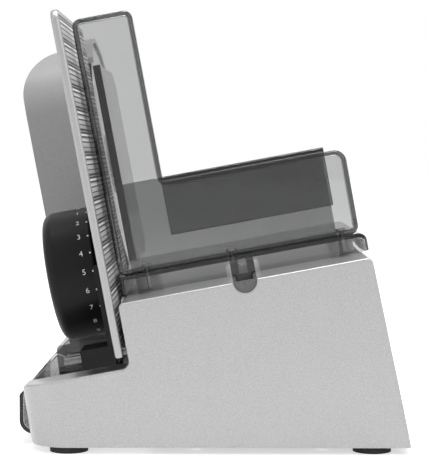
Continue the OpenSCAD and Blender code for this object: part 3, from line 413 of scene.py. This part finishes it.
silver_paint = finish_of("silver_paint", grey(0.33), grey(0.47), 2100, (0.30, 0.36), 0.05, Metallic=0.5,
                         Coat_Weight=0.5, Coat_Roughness=0.15)
grey_paint = finish_of("grey_paint", grey(0.27), grey(0.33), 1800, (0.42, 0.50), 0.06, Metallic=0.1)
plain_steel = finish_of("steel", grey(0.50), grey(0.62), 700, (0.24, 0.34), 0.04, Metallic=1.0)
dark_steel = finish_of("dark_steel", grey(0.12), grey(0.18), 700, (0.30, 0.40), 0.04, Metallic=1.0)
brass = finish_of("brass", (0.60, 0.42, 0.16), (0.72, 0.53, 0.24), 700, (0.24, 0.34), 0.04, Metallic=1.0)
copper = finish_of("copper", (0.55, 0.22, 0.09), (0.72, 0.34, 0.17), 1500, (0.28, 0.4), 0.2, Metallic=1.0)
black_plastic = finish_of("black_plastic", grey(0.006), grey(0.010), 1600, (0.36, 0.44), 0.05,
                          Specular_IOR_Level=0.15)
dark_plastic = finish_of("dark_plastic", grey(0.022), grey(0.034), 1400, (0.40, 0.50), 0.08)
rail_plastic = finish_of("rail_plastic", grey(0.09), grey(0.13), 900, (0.26, 0.34), 0.04)
white_plastic = finish_of("white_plastic", grey(0.72), grey(0.80), 900, (0.36, 0.44), 0.04)
rubber = finish_of("rubber", grey(0.012), grey(0.022), 1200, (0.70, 0.85), 0.25)
board_green = finish_of("board", (0.010, 0.09, 0.03), (0.016, 0.13, 0.05), 600, (0.3, 0.4), 0.05)
film_yellow = finish_of("film_cap", (0.62, 0.44, 0.08), (0.72, 0.53, 0.12), 400, (0.3, 0.4), 0.03)
print_white = finish_of("print_white", grey(0.72), grey(0.82), 1500, (0.5, 0.6), 0.03)


def smoke(name, density, tint):
    """Clear grey plastic: it darkens with its thickness."""
    mat, tree, shader = blank(name)
    fine = noise(tree, coords(tree), 60, 3)
    tree.links.new(shade(tree, fine, grey(tint - 0.02), grey(tint)), shader.inputs["Base Color"])
    tree.links.new(span(tree, fine, 0.02, 0.05), shader.inputs["Roughness"])
    shader.inputs["Transmission Weight"].default_value = 1.0
    shader.inputs["IOR"].default_value = 1.45
    inside = tree.nodes.new("ShaderNodeVolumeAbsorption")
    inside.inputs["Color"].default_value = (0.10, 0.11, 0.12, 1)
    inside.inputs["Density"].default_value = density
    tree.links.new(inside.outputs["Volume"], tree.nodes["Material Output"].inputs["Volume"])
    return mat


smoke_plastic = smoke("smoke_plastic", 180, 0.73)
holder_plastic = smoke("holder_plastic", 290, 0.57)


def turned_steel():
    """Steel turned on a lathe: fine rings about the blade's axle."""
    mat, tree, shader = blank("blade_steel")
    vector = coords(tree, leaning=ORIGIN + AXLE_W * W_AXIS + Vector((0, ly(AXLE_L), 0)))
    rings = tree.nodes.new("ShaderNodeTexWave")
    rings.wave_type = "RINGS"
    rings.rings_direction = "X"
    rings.inputs["Scale"].default_value = 260
    rings.inputs["Distortion"].default_value = 0.4
    tree.links.new(vector, rings.inputs["Vector"])
    colour = ramp(tree, rings.outputs["Fac"], [(0.0, grey(0.60)), (1.0, grey(0.74))])
    tree.links.new(colour, shader.inputs["Base Color"])
    tree.links.new(span(tree, noise(tree, vector, 40), 0.14, 0.22), shader.inputs["Roughness"])
    bump(tree, shader, rings.outputs["Fac"], 0.12, 0.1 * MM)
    shader.inputs["Metallic"].default_value = 1.0
    return mat


blade_steel = turned_steel()

# Painted shade and painted highlights of the fluted front over one pitch, as greys from its foot up:
# place and grey
FLUTE_PAINTED_LIGHT = (
    (0.00, 0.50), (0.11, 0.50), (0.13, 0.14), (0.17, 0.14), (0.19, 0.60), (0.34, 0.60), (0.36, 0.07),
    (0.41, 0.07), (0.43, 0.85), (0.48, 0.85), (0.50, 0.55), (0.55, 0.60), (0.58, 0.06), (0.63, 0.06),
    (0.67, 0.95), (0.73, 0.95), (0.76, 0.05), (0.83, 0.05), (0.86, 0.60), (0.89, 0.05), (0.96, 0.05),
    (0.99, 0.50),
)
# The front's material reaches this deep, which takes in the flutes
FRONT_U = -0.7 * MM


def striped_steel():
    """Satin steel; where its front is pressed into flutes, dark lines of painted shade and light lines of
    painted highlight stand in for the flutes' shading and reflections.
    """
    mat, tree, shader = blank("fluted_steel")
    split = tree.nodes.new("ShaderNodeSeparateXYZ")
    place = coords(tree, leaning=ORIGIN + FLUTE_TOP * W_AXIS, stretch=(1, 1, 1 / PITCH))
    tree.links.new(place, split.inputs[0])
    phase = tree.nodes.new("ShaderNodeMath")
    phase.operation = "FRACT"
    tree.links.new(split.outputs["Z"], phase.inputs[0])
    # The flute lines are painted light: the dark greys are painted shade, the lightest greys painted
    # highlights
    painted_flute_light = ramp(tree, phase.outputs[0], [(at, grey(v)) for at, v in FLUTE_PAINTED_LIGHT])
    outer = sums(tree, "GREATER_THAN", split.outputs["X"], FRONT_U)
    behind_edge = sums(tree, "GREATER_THAN", split.outputs["Y"], ly(FLUTE_L))
    front = sums(tree, "MULTIPLY", outer, behind_edge)
    fine = noise(tree, coords(tree, stretch=(1, 0.1, 1)), 1400)
    satin = shade(tree, fine, grey(0.34), grey(0.42))
    tree.links.new(mixed(tree, front, satin, painted_flute_light), shader.inputs["Base Color"])
    tree.links.new(span(tree, fine, 0.34, 0.44), shader.inputs["Roughness"])
    # The pressed front is matt, the edges are satin
    shine = ramp(tree, front, [(0, grey(0.9)), (1, grey(0.12))])
    tree.links.new(shine, shader.inputs["Metallic"])
    shader.inputs["Specular IOR Level"].default_value = 0.1
    return mat


fluted_steel = striped_steel()


# The base and the motor housing

def house_outline(t, low):
    """Section of the base down to a height above the table, its skin moved inwards by t."""
    left, right = LEFT - LEFT_DRAFT + t, RIGHT + RIGHT_DRAFT - t
    points = [
        (left, w_at(left, low)), (LEFT + t, LEDGE_W - t), (SIDE_U + t, LEDGE_W - t),
        (SIDE_U + t, DECK_W - t), (RIGHT - t, DECK_W - t), (right, w_at(right, low)),
    ]
    return points if t else fillet(points, [0, TOP_R, STEP_R, TOP_R, TOP_R, 0])


def base_block(name, t, l0, l1):
    """Solid of the base between two walls, its skin moved inwards by t."""
    low = FOOT_H - (OVER if t else 0)
    body = prism(name, house_outline(t, low), ly(l0) - OVER, ly(l1) + OVER)
    plan = rect((LEFT - LEFT_DRAFT + t, ly(l0)), (RIGHT + RIGHT_DRAFT - t, ly(l1)))
    plan = fillet(plan, [NEAR_LEFT_R - t, max(NEAR_RIGHT_R - t, LEAST_R), FAR_R - t, FAR_R - t], 12)
    return combine(body, prism("plan", plan, -REACH, 0, "w"), "INTERSECT")


def groove(name, t, top, l0, l1):
    """Prism of the rail's groove, its skin moved inwards by t."""
    r = GROOVE_R - t
    low = DECK_W - GROOVE_DEEP + t
    turns = [math.pi * k / 24 for k in range(25)]
    foot = [(GROOVE_U - r * math.cos(a), low + r - r * math.sin(a)) for a in turns]
    return prism(name, [(GROOVE_U - r, top)] + foot + [(GROOVE_U + r, top)], ly(l0), ly(l1))


def hollow_out(base):
    """Cuts the base's inside, the bay of the food tray and the pocket before the bay."""
    hollow = base_block("hollow", WALL, WALL, BASE_L - WALL)
    keep = prism("keep", rect((SIDE_U + WALL, -REACH), (REACH, 0)), ly(0), ly(BASE_L))
    combine(base, combine(hollow, keep, "INTERSECT"))
    combine(base, base_block("hollow", WALL, HOUSE_L + WALL, BASE_L - WALL))
    bay = rect((LEFT - 5 * OVER, -REACH), (SIDE_U, LEDGE_W + OVER))
    combine(base, prism("bay", bay, ly(BAY_L), ly(HOUSE_L)))
    pocket = base_block("pocket", WALL, WALL, BAY_L - WALL)
    left, low = LEFT - LEFT_DRAFT, FOOT_H + WALL
    room = [(left, w_at(left, low)), (SIDE_U, w_at(SIDE_U, low)), (SIDE_U, 0), (left, 0)]
    combine(base, combine(pocket, prism("room", room, ly(WALL), ly(BAY_L - WALL)), "INTERSECT"))


def add_runners(base):
    """Adds the two runners that the food tray rests on."""
    side_x = ORIGIN.x + (SIDE_U + WALL / 2) * math.cos(TILT) - w_at(SIDE_U, FOOT_H) * math.sin(TILT)
    section = rect((-REACH, FOOT_H), (side_x, FOOT_H + RUNNER_H))
    for l in (RUNNER_L, HOUSE_L - RUNNER_WIDE + OVER):
        runner = prism("runner", section, ly(l), ly(l + RUNNER_WIDE), matrix=WORLD)
        combine(base, combine(runner, base_block("inside", 0, 0, BASE_L), "INTERSECT"), "UNION")


def make_base():
    """The base: a hollow shell with its rail groove, open below."""
    base = base_block("base_shell", 0, 0, BASE_L)
    soften(base, 1.2 * MM, 4, 50, above=FOOT_H + 1.5 * MM, clamp=False, left_of=SHARP_X)
    for vertex in base.data.vertices:
        vertex.co.y = min(max(vertex.co.y, ly(0)), ly(BASE_L))
    hollow_out(base)
    combine(base, groove("trough", -WALL, DECK_W - 0.1 * MM, WALL / 2, BASE_L - WALL / 2), "UNION")
    combine(base, groove("cut", 0, DECK_W + OVER, -OVER, BASE_L + OVER))
    combine(base, groove("rim", -RIM_STEP, DECK_W + OVER, -OVER, RIM_L))
    add_runners(base)
    dress(base, "base", silver_paint, 35)
    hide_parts("base_housing")


def house_body(name, t, u):
    """Solid of the motor housing from its outer face to u, its skin moved inwards by t."""
    low = LEDGE_W + 0.2 * MM - (OVER if t else 0)
    side = rect((ly(HOUSE_L) + t, low), (ly(BASE_L) - t, HOUSE_TOP - t))
    side = fillet(side, [0, 0, HOUSE_R - t, HOUSE_R - t], 24)
    section = rect((HOUSE_U + t, low - OVER), (REACH, HOUSE_TOP - t))
    section = fillet(section, [0, 0, 0, HOUSE_BACK_R - t], 24)
    body = prism(name, side, HOUSE_U - OVER, u, "u")
    return combine(body, prism("section", section, ly(HOUSE_L) - OVER, ly(BASE_L) + OVER), "INTERSECT")


def make_housing():
    """The motor housing: a shell, open towards the blade wall."""
    cover = soften(house_body("motor_cover", 0, HOUSE_OPEN_U), 4 * MM, 5, 40)
    combine(cover, house_body("inner", HOUSE_WALL, HOUSE_OPEN_U + OVER))
    dress(cover, "base", grey_paint, 40)
    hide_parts("motor_housing")


make_base()
make_housing()


# The stop plate and its dial

def flute_cutter():
    """A cutter that lies just clear of the plate's front and dips into it as waves."""
    clear = 0.05 * MM
    w = FLUTE_TOP
    wave = [(OVER, w + OVER), (clear, w + OVER)]
    while w > FLUTE_FOOT:
        for at, width, deep in FLUTES:
            for k in range(9):
                dip = (deep + clear) * math.sin(math.pi * k / 8)
                wave.append((clear - dip, w - at - width * k / 8))
        w -= PITCH
    wave += [(clear, w - OVER), (OVER, w - OVER)]
    return prism("wave", wave, ly(FLUTE_L), ly(STOP_L1) + 1.2 * OVER)


def make_stop():
    """The stop plate, pressed with shallow flutes behind its near edge."""
    side = rect((ly(STOP_L0), -STOP_H / 2), (ly(STOP_L1), STOP_H / 2))
    plate = prism("stop_fence", fillet(side, [0, 0, 0, STOP_R], 12), -STOP_T, 0, "u")
    soften(plate, 1.6 * MM, 4, 50)
    combine(plate, flute_cutter())
    for l, w, r in STOP_HOLES:
        combine(plate, prism("hole", ring(ly(l), w, r, 32), -10 * MM, 10 * MM, "u"))
    dress(plate, "stop", fluted_steel, 30)
    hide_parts("stop_plate")


def dial_profile():
    """Half section of the dial: hub, hollow, rounded rim and dished face."""
    hollow = DIAL_U1 + DIAL_FACE
    near = arc(DIAL_U0 - DIAL_NEAR_R, DIAL_R - DIAL_NEAR_R, DIAL_NEAR_R, 0, 4)
    far = arc(DIAL_U1 + DIAL_FAR_R, DIAL_R - DIAL_FAR_R, DIAL_FAR_R, QUARTER, 10)
    dish = [(0, 22), (0.4, 21.2), (1.6, 19.5), (2, 17), (2, 0)]
    return (
        [(DIAL_U0, 0), (DIAL_U0, HUB_R), (hollow, HUB_R), (hollow, DIAL_INNER_R), (DIAL_U0, DIAL_INNER_R)]
        + near + far + [(DIAL_U1 + deep * MM, r * MM) for deep, r in dish]
    )


def disc(r, n):
    """Mesh of a flat round mark."""
    bm = bmesh.new()
    bm.faces.new([bm.verts.new((x, y, 0)) for x, y in ring(0, 0, r, n)])
    return mesh_of(bm, "disc")


def figure(n):
    """Mesh of a plain number."""
    curve = bpy.data.curves.new("figure", "FONT")
    curve.body = str(n)
    curve.size = FIGURE_SIZE
    curve.align_x, curve.align_y = "CENTER", "CENTER"
    shape = link("figure", curve)
    mesh = evaluated(shape)
    bpy.data.objects.remove(shape)
    bpy.data.curves.remove(curve)
    return mesh


def print_on_rim(name, mesh, angle, u):
    """Lays a flat mark on the dial's rim, its own x along the axis."""
    mark = link(name, mesh)
    r = DIAL_R + PRINT_H
    for v in mark.data.vertices:
        a = angle - v.co.y / r
        v.co = LEAN @ Vector((u + v.co.x, ly(DIAL_L) - r * math.cos(a), DIAL_W - r * math.sin(a)))
    dress(mark, "dial", print_white, 35)


def make_dial():
    """The thickness dial with its printed figures and dots."""
    dial = lathe("dial_knob", dial_profile(), DIAL_L, DIAL_W, 128)
    dress(dial, "dial", black_plastic, 40)
    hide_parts("thickness_dial")
    for n in range(FIGURES):
        angle = (n - FIGURE_ZERO) * FIGURE_STEP
        print_on_rim(f"dial_figure_{n}", figure(n), angle, FIGURE_U)
        print_on_rim(f"dial_dot_{n}", disc(DOT_R, 16), angle, DOT_U)


make_stop()
make_dial()


# The carriage, the remnant holder and the food tray

def guard_outline(t):
    """Outline of the guard seen from the near end, its skin moved inwards by t."""
    points = [
        (CAR_U0 + t, FLOOR_W + t), (GUARD_END - t, FLOOR_W + t), (GUARD_END - t, GUARD_LOW - t),
        (GUARD_TALL - t, GUARD_LOW - t), (GUARD_TALL - t, GUARD_TOP - t), (CAR_U0 + t, GUARD_TOP - t),
    ]
    r = GUARD_R - t
    return fillet(points, [r, r, GUARD_END_R - t, GUARD_INNER_R + t, r, r])


def make_guard():
    """The L-shaped guard: a tray on edge, open away from the near end."""
    guard = prism("slice_guard", guard_outline(0), ly(CAR_L0), ly(CAR_L0 + RIM_D))
    soften(guard, 1.9 * MM, 5, 40)
    inner = prism("inner", guard_outline(PLASTIC), ly(CAR_L0) + PLASTIC, ly(CAR_L0 + RIM_D) + OVER)
    combine(guard, soften(inner, 1 * MM, 4, 40))
    dress(guard, "carriage", smoke_plastic, 30)
    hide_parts("carriage_guard")


def deck_block(name, t, top, low):
    """Solid of the floor plate and its skirt, its skin moved inwards by t."""
    r = CAR_R - t
    plan = fillet(rect((CAR_U0 + t, ly(CAR_L0) + t), (CAR_U1 - t, ly(CAR_L1) - t)), [0, r, r, 0], 10)
    side = rect((CAR_U0 - OVER, -REACH), (CAR_U1 - t, FLOOR_W - top))
    side = fillet(side, [0, 0, CAR_EDGE_R - t, 0], 10)
    body = prism(name, plan, low, FLOOR_W - top, "w")
    return combine(body, prism("edge", side, ly(0), ly(BASE_L)), "INTERSECT")


def make_deck():
    """The carriage's floor plate: a shell that is open below and notched over the rail."""
    deck = deck_block("carriage_deck", 0, 0, SKIRT_W)
    combine(deck, deck_block("under", SKIRT_T, PLASTIC, SKIRT_W - OVER))
    half = GROOVE_R + NOTCH_GAP
    notch = rect((GROOVE_U - half, SKIRT_W - OVER), (GROOVE_U + half, FLOOR_W - NOTCH_TOP))
    notch = fillet(notch, [0, 0, NOTCH_R, NOTCH_R])
    combine(deck, prism("notch", notch, ly(CAR_L0) - OVER, ly(CAR_L1) + OVER))
    soften(deck, 1 * MM, 4, 40)
    dress(deck, "carriage", smoke_plastic, 30)
    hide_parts("carriage_plate")


def make_holder():
    """The remnant holder: its grip over the guard, its wall, and the plate that presses the food."""
    wall_l = CAR_L0 + RIM_D + HOLDER_GAP
    back0, back1 = ly(wall_l), ly(wall_l + HOLDER_T)
    near0, near1 = ly(CAR_L0 - HOLDER_GAP - HOLDER_T), ly(CAR_L0 - HOLDER_GAP)
    top0, top1 = GUARD_LOW + HOLDER_GAP, GUARD_LOW + HOLDER_GAP + HOLDER_T
    flap, bridge = top1 - FLAP_H, back1 - HOLDER_GAP
    grip = [(near0, flap), (near1, flap), (near1, top0), (bridge, top0), (bridge, top1), (near0, top1)]
    grip = fillet(grip, [0.8 * MM, 0.8 * MM, 0.6 * MM, 0, 0, 2 * MM], 6)
    holder = soften(prism("holder_grip", grip, HOLDER_U0, HOLDER_U1, "u"), HOLDER_ROUND, 3, 40)
    wall = rect((back0, FLOOR_W + HOLDER_GAP), (back1, top1 - INSIDE))
    wall = soften(prism("wall", wall, PUSH_U0 + INSIDE, HOLDER_U1 - INSIDE, "u"), HOLDER_ROUND, 3, 40)
    combine(holder, wall, "UNION")
    push = rect((back0 + 0.8 * MM, FLOOR_W + PUSH_RAISED), (ly(wall_l + PUSH_L), PUSH_TOP))
    push = prism("plate", fillet(push, [0, PUSH_R, PUSH_R, 0], 12), PUSH_U0, PUSH_U1, "u")
    combine(holder, soften(push, HOLDER_ROUND, 3, 40), "UNION")
    dress(holder, "holder", holder_plastic, 30)
    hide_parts("remnant_holder")


def tray_outline(t, rise):
    """Section of the food tray, its skin moved inwards by t and its open top raised."""
    shoulder = ORIGIN + SHOULDER_U * U_AXIS + SHOULDER_W * W_AXIS
    end_z = shoulder.z + (TRAY_X1 - shoulder.x) * math.tan(TILT)
    left, right, low = TRAY_X0 + t, TRAY_X1 - t, TRAY_Z + t
    points = [
        (left, low), (right, low), (right, end_z + rise), (shoulder.x, shoulder.z + rise),
        (PEAK_X, PEAK_Z + rise), (left, BACK_Z + rise),
    ]
    return fillet(points, [TRAY_R - t, TRAY_R - t, 0, 0, 0, 0])


def make_tray():
    """The food tray: a trough, open above."""
    tray = prism("slice_tray", tray_outline(0, 0), ly(TRAY_L0), ly(TRAY_L1), matrix=WORLD)
    inner = tray_outline(TRAY_T, REACH)
    combine(tray, prism("inner", inner, ly(TRAY_L0 + TRAY_T), ly(TRAY_L1 - TRAY_T), matrix=WORLD))
    soften(tray, 0.7 * MM, 3, 35)
    dress(tray, "tray", smoke_plastic, 30)
    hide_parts("food_tray")


make_guard()
make_deck()
make_holder()
make_tray()

# The materials of the solids that show as they are
FINISH = (
    (silver_paint, ["blade_wall"]),
    (plain_steel, [
        "cover_screws", "rail_screws", "wall_screws", "housing_screws", "blade_axle", "motor_screws",
        "setting_screw", "stop_screws", "dial_spindle", "blade_rivets", "pinion_shaft", "worm",
        "rotor_shaft", "carriage_screws", "button_spring", "motor_can", "gear_frame", "motor_mount",
    ]),
    (blade_steel, ["blade"]),
    (rubber, ["feet"]),
    (dark_steel, ["guide_rods"]),
    (rail_plastic, ["guide_rail", "carriage_keel"]),
    (dark_plastic, ["bottom_cover"]),
    (black_plastic, [
        "switch_frame", "cord_inlet", "stop_carrier", "blade_lock", "cooling_fan", "power_switch",
        "safety_button",
    ]),
    (white_plastic, ["blade_gear", "worm_wheel", "slide_pads"]),
    (brass, ["rotor_bearings", "setting_nut", "drive_pinion"]),
    (copper, ["armature"]),
    (board_green, ["circuit_board"]),
    (film_yellow, ["capacitor"]),
)
for material, nodes in FINISH:
    for node in nodes:
        mesh = frame["nodes"][node].data
        for i in range(len(mesh.materials)):
            mesh.materials[i] = material
        if not mesh.materials:
            mesh.materials.append(material)


# Camera, light and floor

EYE, LENS, CLIP = (0.0166, -1.0225, 0.1716), 117.5, (0.05, 50)
LOOK_DOWN, LOOK_LEFT = math.radians(3.07), math.radians(0.415)
# Each lamp's name, place, size and watts, and the place that they all face
LAMPS = (
    ("key", (1.3, -1.6, 1.2), 1.4, 10),
    ("fill", (-1.6, -1.2, 0.9), 1.4, 4),
    ("top", (0.1, -0.1, 1.9), 1.0, 27),
)
LIT = Vector((0, 0, 0.1))
WORLD_LIGHT, WORLD_SEEN, FLOOR_SEEN = 0.55, 1.0, 0.6
FLOOR_HALF, FLOOR_T = 8, 10 * MM


def seen(tree):
    """One for rays from the camera, off gloss and through glass, else zero."""
    paths = tree.nodes.new("ShaderNodeLightPath")
    direct = sums(tree, "ADD", paths.outputs["Is Camera Ray"], paths.outputs["Is Glossy Ray"])
    total = sums(tree, "ADD", direct, paths.outputs["Is Transmission Ray"])
    total.node.use_clamp = True
    return total


def set_camera(scene):
    """The camera, where the photo was taken from."""
    cam = bpy.data.cameras.new("camera")
    cam.lens = LENS
    cam.clip_start, cam.clip_end = CLIP
    eye = link("camera", cam)
    eye.location = EYE
    eye.rotation_euler = (QUARTER - LOOK_DOWN, 0, LOOK_LEFT)
    scene.camera = eye


def set_world(scene):
    """Soft light from all round, and a white background."""
    world = bpy.data.worlds.new("studio")
    world.use_nodes = True
    scene.world = world
    tree = world.node_tree
    soft = tree.nodes["Background"]
    white = tree.nodes.new("ShaderNodeBackground")
    for background, strength in ((soft, WORLD_LIGHT), (white, WORLD_SEEN)):
        background.inputs["Color"].default_value = (1, 1, 1, 1)
        background.inputs["Strength"].default_value = strength
    mix = tree.nodes.new("ShaderNodeMixShader")
    tree.links.new(seen(tree), mix.inputs["Fac"])
    tree.links.new(soft.outputs[0], mix.inputs[1])
    tree.links.new(white.outputs[0], mix.inputs[2])
    tree.links.new(mix.outputs[0], tree.nodes["World Output"].inputs["Surface"])


def set_lamps():
    """Three soft lamps that face the slicer."""
    for name, place, size, watts in LAMPS:
        lamp = bpy.data.lights.new(name, "AREA")
        lamp.size = size
        lamp.energy = watts
        obj = link(name, lamp)
        obj.location = place
        obj.rotation_euler = (LIT - Vector(place)).to_track_quat("-Z", "Y").to_euler()


def set_floor():
    """A pale floor that looks as bright as the background, apart from the slicer's shadow."""
    outline = rect((-FLOOR_HALF, -FLOOR_HALF), (FLOOR_HALF, FLOOR_HALF))
    floor = prism("floor", outline, -FLOOR_T, 0, "w", WORLD)
    mat, tree, shader = blank("floor")
    grain = noise(tree, coords(tree), 60)
    tree.links.new(shade(tree, grain, grey(0.80), grey(0.82)), shader.inputs["Base Color"])
    shader.inputs["Roughness"].default_value = 0.7
    shader.inputs["Specular IOR Level"].default_value = 0.1
    glow = tree.nodes.new("ShaderNodeEmission")
    glow.inputs["Color"].default_value = (*grey(FLOOR_SEEN), 1)
    tree.links.new(seen(tree), glow.inputs["Strength"])
    both = tree.nodes.new("ShaderNodeAddShader")
    tree.links.new(shader.outputs[0], both.inputs[0])
    tree.links.new(glow.outputs[0], both.inputs[1])
    tree.links.new(both.outputs[0], tree.nodes["Material Output"].inputs["Surface"])
    floor.data.materials.append(mat)


scene = bpy.context.scene
scene.view_settings.view_transform = "Standard"
set_camera(scene)
set_world(scene)
set_lamps()
set_floor()
